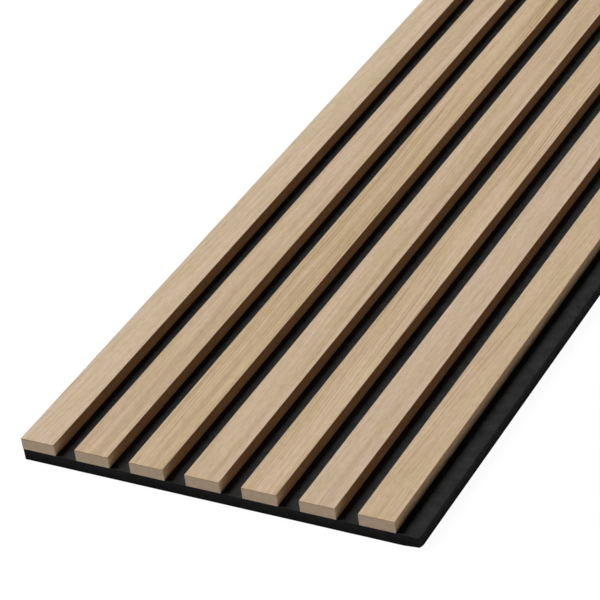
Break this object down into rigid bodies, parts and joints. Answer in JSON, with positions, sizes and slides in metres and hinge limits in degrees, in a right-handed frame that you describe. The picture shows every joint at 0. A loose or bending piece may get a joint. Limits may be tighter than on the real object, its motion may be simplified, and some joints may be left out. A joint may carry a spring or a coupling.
{
  "type": "acoustic slat wall panel",
  "caption": "Long flat acoustic wall panel: oak-veneered slats evenly spaced lengthwise on a dark felt backing board, with a bare felt lip beyond the last slat.",
  "frame": {"origin": "middle of the felt board's back face, which is the underside as the panel lies", "axes": "+X across the slats towards the bare felt lip, +Y along the slats, +Z out of the wall, from the felt to the oak faces"},
  "size_m": [0.2976, 2.4, 0.018],
  "materials": {
    "felt": "dense needled polyester felt, charcoal, matt and fibrous",
    "core_board": "plain fine fibreboard, cut edges, matt light brown",
    "oak_veneer": "light oak veneer with fine straight grain, clear matt lacquer",
    "staple_wire": "galvanised flat steel wire"
  },
  "bodies": {
    "root": {"felt_backing": "felt", "slat_core_1": "core_board", "slat_veneer_1": "oak_veneer", "slat_staples_1": "staple_wire", "slat_core_2": "core_board", "slat_veneer_2": "oak_veneer", "slat_staples_2": "staple_wire", "slat_core_3": "core_board", "slat_veneer_3": "oak_veneer", "slat_staples_3": "staple_wire", "slat_core_4": "core_board", "slat_veneer_4": "oak_veneer", "slat_staples_4": "staple_wire", "slat_core_5": "core_board", "slat_veneer_5": "oak_veneer", "slat_staples_5": "staple_wire", "slat_core_6": "core_board", "slat_veneer_6": "oak_veneer", "slat_staples_6": "staple_wire", "slat_core_7": "core_board", "slat_veneer_7": "oak_veneer", "slat_staples_7": "staple_wire"}
  },
  "joints": []
}
